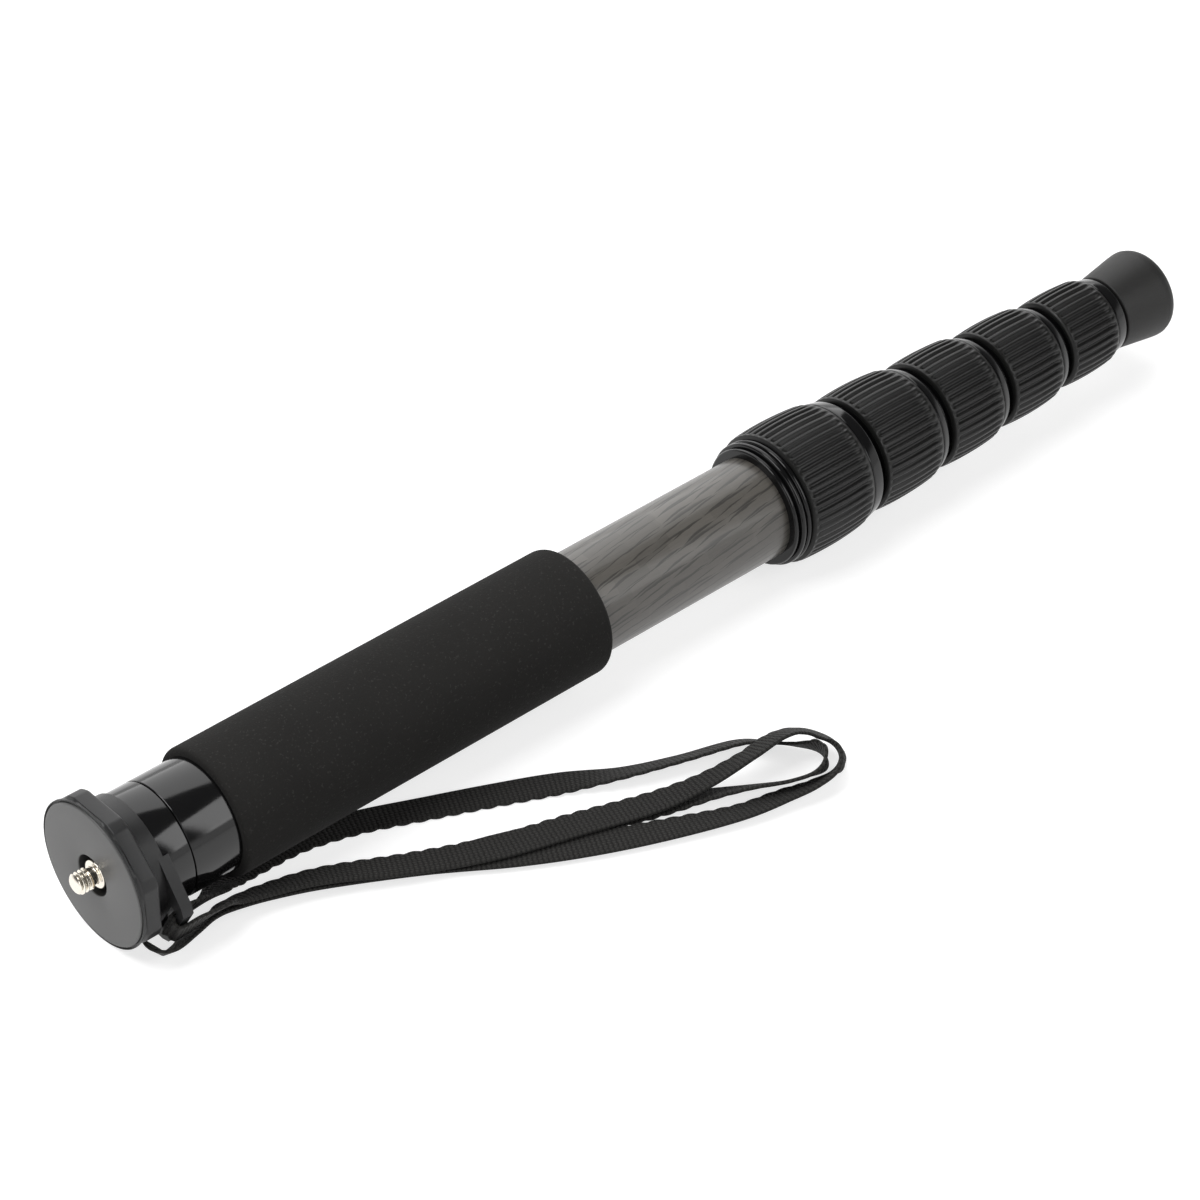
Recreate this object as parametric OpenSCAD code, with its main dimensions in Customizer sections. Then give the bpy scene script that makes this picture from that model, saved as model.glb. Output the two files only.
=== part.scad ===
// Camera monopod of six tubes with five twist locks, folded and lying on its side.
// The tube axis runs along +X, from the camera plate to the foot, and z = 0 is the surface it lies on.
// Places along the axis, whose names end in _x, are counted from the front face of the camera plate.

/* [Tubes] */
// Outer diameter of the top tube
top_tube_d = 32; // [31.8:0.1:32.4]
// Outer diameter of the second tube
second_tube_d = 28; // [27.8:0.1:28.2]
// Step in diameter from each further tube to the next one
tube_step_d = 3; // [2.9:0.1:3.1]
// Wall of the top tube
top_wall = 1.2; // [1:0.1:1.3]
// Wall of the other tubes
tube_wall = 1; // [0.8:0.1:1]

/* [Camera plate and neck] */
// Diameter of the smooth front disc of the plate
plate_d = 44.4; // [43:0.2:44.4]
// Diameter across the finger lobes of the plate
lobe_d = 45.8; // [45.8:0.1:47]
// Number of finger lobes
lobe_count = 8; // [8:4:12]
// Thickness of the plate
plate_t = 9.1; // [8.6:0.1:9.6]
// Major diameter of the camera screw
screw_d = 6.35; // [6.2:0.05:6.4]
// How far the camera screw stands out of the plate
screw_out = 6; // [5:0.25:7]
// Diameter of the neck
neck_d = 34.8; // [34:0.2:36]
// Where the foam grip starts
grip_x = 36.7; // [34:0.1:38]

/* [Foam grip] */
// Outer diameter of the grip
grip_d = 39.2; // [38:0.2:42]
// Length of the grip
grip_len = 136.6; // [120:0.2:140]
// Rounding of the grip's ends
grip_round = 3.2; // [2:0.1:3.4]

/* [Twist locks] */
// Where the first lock starts
lock_1_x = 239; // [232:0.5:245]
// Length of the first lock
lock_1_len = 38; // [37:0.1:40]
// Length of the second lock
lock_2_len = 30; // [29:0.1:32]
// Length of each further lock
lock_len = 28; // [27.5:0.1:30]
// How far a lock's rubber sleeve stands out from the tube
lock_h = 5.15; // [5:0.05:5.4]
// Spacing of the ribs round a sleeve
rib_pitch = 2.72; // [2.4:0.02:3.2]

/* [Foot] */
// Length of the rubber foot
foot_len = 20.5; // [19:0.5:24]
// Largest diameter of the foot
foot_d = 29; // [28:0.2:31]
// Diameter of the foot at its upper end
foot_top_d = 24.4; // [23.6:0.2:26]

/* [Wrist strap] */
// Width of the webbing
strap_w = 9.5; // [9:0.1:9.6]
// Thickness of the webbing
strap_t = 1; // [0.8:0.05:1]

/* [Hidden] */
$fn = 96;
lock_count = 5;
section_count = lock_count + 1;

carbon = [0.34, 0.33, 0.31];
gloss_black = [0.05, 0.05, 0.055];
satin_grey = [0.22, 0.22, 0.23];
rubber_grey = [0.12, 0.12, 0.12];
foam_black = [0.04, 0.04, 0.04];
nylon_white = [0.85, 0.84, 0.80];
nickel = [0.80, 0.79, 0.76];
foot_grey = [0.27, 0.26, 0.26];
webbing_black = [0.09, 0.09, 0.09];

// Fits and gaps
slide_gap = 0.1;
thread_gap = 0.1;
lip_gap = 0.3;
lock_gap = 0.4;
chamfer = 0.5;

// Plate: eight recesses cut into its rim behind the front disc, one of them straight down
disc_t = 1.6;
recess_floor_r = 19.6;
recess_w = 10.7;
dish_r = 6.9;
dish_floor_r = 5.4;
flange_x = 3.2;
flange_t = 1.2;
flange_r = 4.6;
relief_r = 2.9;
tip_chamfer = 0.8;
shank_r = 9.525 / 2;
shank_end_x = 14;
boss_r = 9;
boss_x = 6.6;

// The plate rests on the corners of the two lobes beside its lowest recess
axis_h = sqrt(pow(lobe_d / 2, 2) - pow(recess_w / 2, 2));

// Strap ring: a flat washer clamped between plate and neck, with a slotted tab set back from the plate
ring_x = plate_t;
ring_t = 3.4;
ring_r = 18.1;
tab_turn = 120;
tab_set_back = 1.8;
tab_r = 24;
tab_half_w = 8;
tab_corner = 2;
tab_root_turn = 62;
slot_r = 19.1;
slot_h = 2.4;
slot_w = 12;

// Neck
hub_x = ring_x + ring_t;
hub_end_x = 21.1;
hub_bore_r = 11;
hub_bore_x = 18;
hub_spigot_x = 27;
collar_groove = 0.3;
neck_chamfer = 0.3;

// Tubes and their guide shims
inner_tube_x = 28;
inner_tube_step = 18;
shim_inset = 1;
shim_len = 23;
shim_slit = 2;

// Locks, from the start of the rubber sleeve
first_collar_len = 3;
first_ring_len = 4;
collar_len = 1.5;
collar_h = 2.6;
ring_h = 3.6;
seat_h = 3.4;
nose_h = 2.8;
nose_len = 3.2;
end_nose_len = 4.5;
ferrule_wall = 1.6;
tube_seat = 7;
ferrule_seat = 16.5;
collet_flange_h = 1.2;
collet_flange_t = 1;
collet_cone = 2.8;
collet_tip = 0.8;
collet_split = 1.6;
collet_slots = 6;
wedge_gap = 0.3;

// Rubber sleeves
barrel_r = 110;
barrel_mid = 0.42;
sleeve_border = 2;
rib_depth = 0.85;
rib_root = 0.62;
rib_crest = 0.46;
sleeve_chamfer = 0.7;

// Foot
foot_seat = 7;
foot_round = 3;
plug_len = 10;
plug_flange_t = 2;
plug_stud_r = 4;
plug_stud_len = 7;

function tube_r(k) = k == 1 ? top_tube_d / 2 : (second_tube_d - tube_step_d * (k - 2)) / 2;
function bore_r(k) = tube_r(k) - (k == 1 ? top_wall : tube_wall);
function lock_x(k) =
    k == 1 ? lock_1_x
    : k == 2 ? lock_1_x + lock_1_len
    : lock_1_x + lock_1_len + lock_2_len + lock_len * (k - 3);
function collar_end_x(k) = lock_x(k) + (k == 1 ? first_collar_len : collar_len);
function nut_x(k) = collar_end_x(k) + lip_gap;
function sleeve_x(k) = nut_x(k) + (k == 1 ? first_ring_len : 0);
function lock_end_x(k) = lock_x(k + 1) - lock_gap;
function nose_of(k) = k == 1 || k == lock_count ? end_nose_len : nose_len;
function sleeve_end_x(k) = lock_end_x(k) - nose_of(k);
function sleeve_r(k) = tube_r(k) + lock_h;
function rib_count(k) = round(2 * PI * sleeve_r(k) / rib_pitch);
function tube_top_x(k) = k == 1 ? hub_end_x : inner_tube_x + inner_tube_step * (k - 2);
function tube_end_x(k) = k == section_count ? foot_x + foot_seat : sleeve_x(k) + tube_seat;

foot_x = lock_x(section_count) + collar_len - 1;
foot_end_x = foot_x + foot_len;
mid_x = (foot_end_x - screw_out) / 2;

// A point of the strap beside the tab: place, distance from the axis and tilt
function at_tab(x, out, tilt) = [x, -out * sin(tab_turn), axis_h + out * cos(tab_turn), tilt];

// The strap is one loop of webbing, threaded through the slot and laid double on the ground.
// Each point is [place, y, height of the band's middle, tilt of its width from level].
// Inner run: from the slot along the grip, round the inner turn and back under the outer run
inner_run = [
    at_tab(12.8, 20.5, -60), at_tab(17, 20.6, -60), [23, -15.6, 9, -48], [30, -11.4, 4.9, -28],
    [38, -6.6, 1.8, -8], [50, -5.2, 0.8, 0], [64, -6.2, 0.7, 0], [80, -11, 0.7, 0],
    [97, -18.8, 0.7, 0], [115, -27.3, 0.7, 0], [132, -36, 0.9, -3], [147, -46, 2.6, -24],
    [163, -53, 3.2, -32], [179, -58.5, 3.3, -34], [185, -64, 3.6, -38], [190, -70, 3.9, -43],
    [193.5, -76, 4.6, -58], [191.5, -81.5, 5, -90], [185.5, -83, 4.3, -130], [178, -80.4, 3.7, -138],
    [169, -75, 3.4, -143], [160, -69.4, 2.6, -154], [150, -63.6, 1.4, -171], [138, -58, 0.7, -180],
    [120, -51.2, 0.7, -180], [100, -43.2, 0.7, -180], [84, -36.4, 0.6, -180], [70, -29.5, 0.6, -180]
];
// Outer run: from the slot round the tab's rim, along the ground, round the outer turn and back to the plate
outer_run = [
    at_tab(12.2, 20.5, -120), at_tab(10.9, 20.65, -118), at_tab(10, 21.4, -101), at_tab(10, 22.8, -90),
    at_tab(10, 24, -82), at_tab(10.6, 24.9, -63), at_tab(12.2, 25.1, -60), at_tab(17, 25, -59),
    [24, -20.8, 9, -46], [31, -18, 5.7, -32], [42, -19.6, 4.7, -22], [57, -25, 4.5, -14],
    [79, -37, 3.8, -4], [100, -47, 3.6, 0], [122, -54.3, 3.6, 0], [145, -61.6, 3.2, -6],
    [160, -66.2, 5.4, -19], [173, -69, 8.6, -29], [183, -69.5, 10, -30], [190.5, -70, 8.4, -30],
    [196, -73, 6, -34], [197.5, -79, 5.2, -50], [194.5, -84.5, 5.1, -88], [189, -86.4, 4.3, -132],
    [182, -85.6, 3.4, -148], [174, -83.2, 2.7, -157], [160, -79.4, 2.1, -163], [140, -71, 2.1, -175],
    [121, -61.8, 2.1, -180], [103, -51.5, 2.1, -180], [82, -37.5, 2.2, -178], [58, -25.4, 2.8, -166],
    [43, -19.6, 3, -157], [32, -17, 3.2, -149], [24, -17, 3.6, -142], [16, -19, 3.7, -139],
    [9, -20.6, 3.8, -136], [6, -19, 4.2, -130], [6, -16, 4.4, -126]
];

// Sweep of the webbing's cross-section along a run
edge_cut = strap_t / 4;
webbing_section = [
    for (side = [-1, 1]) each [
        [side * strap_w / 2, side * (strap_t / 2 - edge_cut)],
        [side * (strap_w / 2 - edge_cut), side * strap_t / 2],
        [side * (edge_cut - strap_w / 2), side * strap_t / 2],
        [-side * strap_w / 2, side * (strap_t / 2 - edge_cut)]
    ]
];
section_sides = len(webbing_section);
function unit(v) = v / norm(v);
function spot(p) = [p[0] - mid_x, p[1], p[2]];
function heading(run, i) = unit(spot(run[min(i + 1, len(run) - 1)]) - spot(run[max(i - 1, 0)]));
function width_way(run, i) =
    let (d = heading(run, i), level = unit([-d.y, d.x, 0]))
    let (w = level * cos(run[i][3]) + [0, 0, sin(run[i][3])])
    unit(w - (w * d) * d);
function webbing_ring(run, i) =
    let (w = width_way(run, i), up = cross(heading(run, i), w))
    [for (c = webbing_section) spot(run[i]) + c.x * w + c.y * up];
function ring_faces(i) = [
    for (j = [0:section_sides - 1])
        let (a = i * section_sides + j, b = i * section_sides + (j + 1) % section_sides)
        each [[a, b + section_sides, b], [a, a + section_sides, b + section_sides]]
];

// Lays a shape that was drawn along +Z from the plate's face onto the monopod's axis
module along_axis() {
    translate([-mid_x, 0, axis_h]) rotate([0, 90, 0]) children();
}

// A body of revolution from an outline of [radius, place] points
module turned(outline) {
    along_axis() rotate_extrude() polygon(outline);
}

// A straight ring between two radii and two places
module ring_between(inner_r, outer_r, from_x, to_x) {
    turned([[inner_r, from_x], [outer_r, from_x], [outer_r, to_x], [inner_r, to_x]]);
}

module camera_plate() {
    color(satin_grey)
    along_axis() difference() {
        union() {
            rotate_extrude() polygon([
                [0, 0], [plate_d / 2 - chamfer, 0], [plate_d / 2, chamfer],
                [plate_d / 2, disc_t], [0, disc_t]
            ]);
            difference() {
                rotate_extrude() polygon([
                    [0, disc_t], [lobe_d / 2 - chamfer, disc_t], [lobe_d / 2, disc_t + chamfer],
                    [lobe_d / 2, plate_t - chamfer], [lobe_d / 2 - chamfer, plate_t], [0, plate_t]
                ]);
                for (i = [0:lobe_count - 1])
                    rotate(360 / lobe_count * i)
                    translate([recess_floor_r, -recess_w / 2, disc_t])
                    cube([lobe_d / 2, recess_w, plate_t]);
            }
        }
        rotate_extrude() polygon([
            [0, 0], [dish_r, 0], [dish_floor_r, flange_x + flange_t], [0, flange_x + flange_t]
        ]);
        cylinder(r = shank_r, h = plate_t);
        translate([0, 0, boss_x]) cylinder(r = boss_r, h = plate_t);
    }
}

module camera_screw() {
    screw_r = screw_d / 2;
    color(nickel)
    turned([
        [0, -screw_out], [screw_r - tip_chamfer, -screw_out], [screw_r, tip_chamfer - screw_out],
        [screw_r, 0], [relief_r, 0], [relief_r, flange_x], [flange_r, flange_x],
        [flange_r, flange_x + flange_t], [shank_r, flange_x + flange_t], [shank_r, shank_end_x],
        [0, shank_end_x]
    ]);
}

// Outline of the tab, pointing along +X, with tapered flanks that leave the ring as tangents
module tab_outline() {
    root = [ring_r * cos(tab_root_turn), ring_r * sin(tab_root_turn)];
    polygon([
        [0, 0], [root.x, -root.y], [tab_r - tab_corner, -tab_half_w - tab_corner],
        [tab_r, -tab_half_w], [tab_r, tab_half_w],
        [tab_r - tab_corner, tab_half_w + tab_corner], [root.x, root.y]
    ]);
}

module strap_ring() {
    color(satin_grey)
    along_axis() difference() {
        union() {
            translate([0, 0, ring_x]) cylinder(r = ring_r, h = ring_t);
            // Turned from straight up, which is -X here, towards the side of the tab
            rotate(180 + tab_turn)
            translate([0, 0, ring_x + tab_set_back])
            linear_extrude(ring_t) tab_outline();
        }
        cylinder(r = boss_r, h = 2 * hub_x);
        translate([0, 0, hub_x]) cylinder(r = neck_d / 2 + lip_gap, h = hub_x);
        rotate(180 + tab_turn)
        translate([slot_r, -slot_w / 2, ring_x])
        cube([slot_h, slot_w, 2 * ring_t]);
    }
}

module neck_hub() {
    neck_r = neck_d / 2;
    color(gloss_black)
    turned([
        [shank_r, boss_x], [boss_r, boss_x], [boss_r, hub_x], [neck_r - neck_chamfer, hub_x],
        [neck_r, hub_x + neck_chamfer], [neck_r, hub_end_x - neck_chamfer],
        [neck_r - neck_chamfer, hub_end_x], [bore_r(1), hub_end_x], [bore_r(1), hub_spigot_x],
        [hub_bore_r, hub_spigot_x], [hub_bore_r, hub_bore_x], [shank_r, hub_bore_x]
    ]);
}

module tube_collar() {
    neck_r = neck_d / 2;
    start_x = hub_end_x + collar_groove;
    color(gloss_black)
    turned([
        [tube_r(1), start_x], [neck_r - neck_chamfer, start_x], [neck_r, start_x + neck_chamfer],
        [neck_r, grip_x - neck_chamfer], [neck_r - neck_chamfer, grip_x], [tube_r(1), grip_x]
    ]);
}

module foam_grip() {
    outer_r = grip_d / 2;
    end_x = grip_x + grip_len;
    color(foam_black)
    along_axis() rotate_extrude() intersection() {
        translate([tube_r(1), grip_x]) square([outer_r - tube_r(1), grip_len]);
        hull() for (x = [grip_x + grip_round, end_x - grip_round])
            translate([outer_r - grip_round, x]) circle(grip_round);
    }
}

// Flat webbing along one run of the strap
module webbing(run) {
    last = len(run) - 1;
    color(webbing_black)
    polyhedron(
        points = [for (i = [0:last]) each webbing_ring(run, i)],
        faces = concat(
            [[for (j = [0:section_sides - 1]) j]],
            [for (i = [0:last - 1]) each ring_faces(i)],
            [[for (j = [section_sides - 1:-1:0]) last * section_sides + j]]
        )
    );
}

module tube(k) {
    color(carbon) ring_between(bore_r(k), tube_r(k), tube_top_x(k), tube_end_x(k));
}

// Two half shells that centre a tube's upper end in the tube above
module guide_shims(k) {
    start_x = tube_top_x(k) + shim_inset;
    color(nylon_white)
    along_axis() difference() {
        translate([0, 0, start_x]) cylinder(r = bore_r(k - 1) - slide_gap, h = shim_len);
        translate([0, 0, start_x - shim_inset]) cylinder(r = tube_r(k), h = 2 * shim_len);
        translate([-shim_slit / 2, -top_tube_d, start_x - shim_inset])
            cube([shim_slit, 2 * top_tube_d, 2 * shim_len]);
    }
}

// Collar and thread sleeve, bonded to the lower end of a tube
module lock_ferrule(k) {
    r = tube_r(k);
    end_x = sleeve_x(k) + ferrule_seat;
    color(gloss_black)
    turned([
        [r, lock_x(k)], [r + collar_h - chamfer, lock_x(k)], [r + collar_h, lock_x(k) + chamfer],
        [r + collar_h, collar_end_x(k)], [r + ferrule_wall, collar_end_x(k)],
        [r + ferrule_wall, end_x - chamfer], [r + ferrule_wall - chamfer, end_x], [r, end_x]
    ]);
}

// Split ring with a cone, which the nut closes on the next tube
module lock_collet(k) {
    r = tube_r(k);
    clear_r = tube_r(k + 1) + slide_gap;
    start_x = sleeve_x(k) + tube_seat + lip_gap;
    flange_x = sleeve_x(k) + ferrule_seat + lip_gap;
    cone_x = flange_x + collet_flange_t;
    end_x = cone_x + collet_cone;
    color(nylon_white)
    along_axis() difference() {
        rotate_extrude() polygon([
            [clear_r, start_x], [r - slide_gap / 2, start_x], [r - slide_gap / 2, flange_x],
            [r + collet_flange_h, flange_x], [r + collet_flange_h, cone_x],
            [clear_r + collet_tip, end_x], [clear_r, end_x]
        ]);
        translate([0, -collet_split / 2, start_x - 1]) cube([2 * r, collet_split, end_x]);
        for (i = [1:collet_slots - 1])
            rotate(360 / collet_slots * i)
            translate([0, -collet_split / 2, flange_x - collet_cone])
            cube([2 * r, collet_split, end_x]);
    }
}

// Nut with a thread bore, an inner cone over the collet and a smooth nose
module lock_nut(k) {
    r = tube_r(k);
    next_r = tube_r(k + 1);
    thread_r = r + ferrule_wall + thread_gap;
    cone_x = sleeve_x(k) + ferrule_seat + lip_gap + collet_flange_t + wedge_gap;
    lip_x = cone_x + collet_cone;
    // Only the first nut has a ring above its sleeve
    ring = k > 1 ? [] : [
        [r + ring_h - chamfer, nut_x(k)], [r + ring_h, nut_x(k) + chamfer], [r + ring_h, sleeve_x(k)]
    ];
    color(gloss_black)
    turned(concat([[thread_r, nut_x(k)]], ring, [
        [r + seat_h, sleeve_x(k)], [r + seat_h, sleeve_end_x(k)],
        [r + ring_h, sleeve_end_x(k)], [r + ring_h, sleeve_end_x(k) + chamfer],
        [r + nose_h, lock_end_x(k) - chamfer], [r + nose_h - chamfer, lock_end_x(k)],
        [next_r + lip_gap, lock_end_x(k)], [next_r + lip_gap, lip_x],
        [next_r + slide_gap + collet_tip + wedge_gap, lip_x], [thread_r, cone_x]
    ]));
}

// Barrel outline of a sleeve: a long arc between its two ends, chamfered at both
module sleeve_outline(k) {
    inner_r = tube_r(k) + seat_h;
    len = sleeve_end_x(k) - sleeve_x(k);
    intersection() {
        translate([inner_r, sleeve_x(k)]) square([lock_h, len]);
        translate([sleeve_r(k) - barrel_r, sleeve_x(k) + barrel_mid * len]) circle(barrel_r, $fn = 360);
        polygon([
            [inner_r, sleeve_x(k)], [sleeve_r(k) - 2 * sleeve_chamfer, sleeve_x(k)],
            [sleeve_r(k), sleeve_x(k) + 2 * sleeve_chamfer],
            [sleeve_r(k), sleeve_end_x(k) - 3 * sleeve_chamfer],
            [sleeve_r(k) - 2 * sleeve_chamfer, sleeve_end_x(k)], [inner_r, sleeve_end_x(k)]
        ]);
    }
}

// Cross-section of the ribbed length: a disc to the groove floors and one tapered rib per pitch
module rib_outline(k) {
    floor_r = sleeve_r(k) - rib_depth;
    crest_r = sleeve_r(k) + rib_depth;
    root_w = rib_pitch * rib_root;
    crest_w = rib_pitch * rib_crest;
    circle(floor_r);
    for (i = [0:rib_count(k) - 1])
        rotate(360 / rib_count(k) * i)
        polygon([
            [floor_r - rib_depth, -root_w / 2], [crest_r, -crest_w / 2],
            [crest_r, crest_w / 2], [floor_r - rib_depth, root_w / 2]
        ]);
}

module lock_sleeve(k) {
    len = sleeve_end_x(k) - sleeve_x(k);
    color(rubber_grey)
    along_axis() intersection() {
        rotate_extrude() sleeve_outline(k);
        union() {
            translate([0, 0, sleeve_x(k)]) cylinder(r = sleeve_r(k) + 1, h = sleeve_border);
            translate([0, 0, sleeve_x(k)]) linear_extrude(len) rib_outline(k);
        }
    }
}

// Insert in the end of the last tube, with the stud that the rubber foot screws onto
module foot_plug() {
    seat_x = tube_end_x(section_count);
    flange_end_x = seat_x + plug_flange_t;
    color(gloss_black)
    turned([
        [0, seat_x - plug_len], [bore_r(section_count), seat_x - plug_len],
        [bore_r(section_count), seat_x], [tube_r(section_count), seat_x],
        [tube_r(section_count), flange_end_x], [plug_stud_r, flange_end_x],
        [plug_stud_r, flange_end_x + plug_stud_len], [0, flange_end_x + plug_stud_len]
    ]);
}

module rubber_foot() {
    top_r = foot_top_d / 2;
    end_r = foot_d / 2;
    bore_end_x = tube_end_x(section_count) + plug_flange_t;
    stud_end_x = bore_end_x + plug_stud_len;
    flare_x = foot_end_x - foot_round - 2;
    color(foot_grey)
    along_axis() rotate_extrude() difference() {
        union() {
            polygon([
                [0, foot_x], [top_r - chamfer, foot_x], [top_r, foot_x + chamfer], [end_r, flare_x],
                [end_r, foot_end_x - foot_round], [end_r - foot_round, foot_end_x], [0, foot_end_x]
            ]);
            translate([end_r - foot_round, foot_end_x - foot_round]) circle(foot_round);
        }
        translate([0, foot_x]) square([tube_r(section_count), bore_end_x - foot_x]);
        translate([0, foot_x]) square([plug_stud_r, stud_end_x - foot_x]);
    }
}

camera_plate();
camera_screw();
strap_ring();
neck_hub();
tube_collar();
foam_grip();
webbing(inner_run);  // wrist_strap_inner
webbing(outer_run);  // wrist_strap_outer
for (k = [1:section_count]) {
    tube(k);
}
for (k = [2:section_count]) {
    guide_shims(k);
}
for (k = [1:lock_count]) {
    lock_ferrule(k);
    lock_collet(k);
    lock_nut(k);
    lock_sleeve(k);
}
foot_plug();
rubber_foot();
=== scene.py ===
import math

import bmesh
import bpy
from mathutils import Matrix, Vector


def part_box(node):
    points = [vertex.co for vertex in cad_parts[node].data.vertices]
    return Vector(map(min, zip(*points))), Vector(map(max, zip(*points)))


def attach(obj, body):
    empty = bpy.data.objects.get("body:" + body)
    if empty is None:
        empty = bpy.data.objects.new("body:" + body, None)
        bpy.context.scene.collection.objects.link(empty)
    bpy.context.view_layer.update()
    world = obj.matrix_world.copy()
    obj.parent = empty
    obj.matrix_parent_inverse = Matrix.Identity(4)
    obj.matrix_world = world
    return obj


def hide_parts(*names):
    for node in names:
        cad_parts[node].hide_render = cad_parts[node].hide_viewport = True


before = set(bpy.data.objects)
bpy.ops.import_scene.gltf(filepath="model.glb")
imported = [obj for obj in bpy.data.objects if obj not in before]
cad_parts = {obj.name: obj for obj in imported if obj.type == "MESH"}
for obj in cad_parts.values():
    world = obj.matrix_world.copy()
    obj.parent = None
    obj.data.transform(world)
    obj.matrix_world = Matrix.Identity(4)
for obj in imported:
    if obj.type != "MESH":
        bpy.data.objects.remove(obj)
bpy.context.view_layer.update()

bl_info = {
    "name": "Camera monopod",
    "version": (1, 0, 0),
    "blender": (4, 5, 0),
    "location": "View3D > Sidebar > Monopod",
    "description": "Dresses a folded camera monopod: plate, neck, grip, twist locks, foot and wrist strap",
    "category": "Object",
}

MM = 0.001
LOCKS = range(1, 6)
SECTIONS = range(1, 7)
TURN = 2 * math.pi

# The tube axis runs along X at this height
TOP_TUBE_LOW, TOP_TUBE_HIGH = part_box("tube_1")
AXIS_Z = (TOP_TUBE_LOW.z + TOP_TUBE_HIGH.z) / 2
PLATE_FACE_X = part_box("camera_plate")[0].x
SHANK_RADIUS = 4.7625 * MM

# Facets round a turned piece, the edge angle above which it stays sharp, and the angle that counts as flat
ROUND_STEPS = 192
SHARP_ANGLE = math.radians(40)
FLAT_ANGLE = math.radians(0.5)
MERGE_DISTANCE = 0.00001


def length(name, description, default):
    """A length that a user may change, with its default in millimetres."""
    return bpy.props.FloatProperty(name=name, description=description, default=default * MM, unit="LENGTH")


def colour(name, description, default):
    """A colour that a user may change."""
    return bpy.props.FloatVectorProperty(
        name=name, description=description, default=default, subtype="COLOR", size=3, min=0, max=1)


class MonopodSizes(bpy.types.PropertyGroup):
    """Sizes of the details that the turned and swept pieces carry"""

    tube_wall: length("Tube wall", "Wall of the inner tubes", 1)
    top_wall: length("Top wall", "Wall of the top tube", 1.2)
    edge_round: length("Edge round", "Rounding of the turned metal edges", 0.35)
    thread_pitch: length("Thread pitch", "Pitch of the camera screw", 1.27)
    thread_depth: length("Thread depth", "Depth of the camera screw's thread", 0.75)
    rib_depth: length("Rib depth", "Depth of the grooves between the ribs of a sleeve", 0.8)
    rib_pitch: length("Rib pitch", "Spacing of the ribs round a sleeve", 2.72)
    rib_border: length("Rib border", "Smooth border above the ribs", 0.9)
    strap_width: length("Strap width", "Width of the webbing", 9.5)
    strap_thickness: length("Strap thickness", "Thickness of the webbing", 1)
    scallop_pitch: length("Scallop pitch", "Spacing of the scallops on the webbing's edge", 4.9)
    scallop_height: length("Scallop height", "How far the scallops stand out", 0.7)
    stitch_pitch: length("Stitch pitch", "Spacing of the stitches at the strap's base", 2.4)


class MonopodColours(bpy.types.PropertyGroup):
    """Colours of the finishes"""

    disc_grey: colour("Disc grey", "Satin front disc of the plate", (0.075, 0.075, 0.074))
    rim_grey: colour("Rim grey", "Rim of the plate and strap ring", (0.013, 0.013, 0.0134))
    gloss_black: colour("Gloss black", "Neck and lock metal", (0.004, 0.004, 0.0042))
    nickel: colour("Nickel", "Camera screw", (0.82, 0.77, 0.68))
    foam_black: colour("Foam black", "Foam grip", (0.0165, 0.016, 0.0153))
    sleeve_black: colour("Sleeve black", "Rubber sleeves of the locks", (0.0055, 0.0055, 0.0052))
    foot_grey: colour("Foot grey", "Rubber foot", (0.0135, 0.0132, 0.0128))
    carbon_light: colour("Carbon light", "Brighter carbon strands", (0.094, 0.086, 0.075))
    carbon_dark: colour("Carbon dark", "Darker carbon strands", (0.020, 0.018, 0.015))
    # Painted shade: the well round the camera screw is coloured near black, for the shadow deep inside it
    well_black: colour("Well black", "Well round the camera screw", (0.006, 0.006, 0.006))
    thread_black: colour("Thread black", "Stitches of the strap", (0.012, 0.012, 0.011))
    webbing_black: colour("Webbing black", "Wrist strap", (0.0175, 0.0168, 0.0155))
    nylon_white: colour("Nylon white", "Collets and guide shims", (0.70, 0.69, 0.64))
    floor_white: colour("Floor white", "Floor and backdrop", (0.45, 0.45, 0.45))


def sizes():
    return bpy.context.scene.monopod_sizes


def colours():
    return bpy.context.scene.monopod_colours


# A whole number that keeps a count of rows or ribs above zero, so that its remainders are not negative
KEEP_POSITIVE = 100.0


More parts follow.
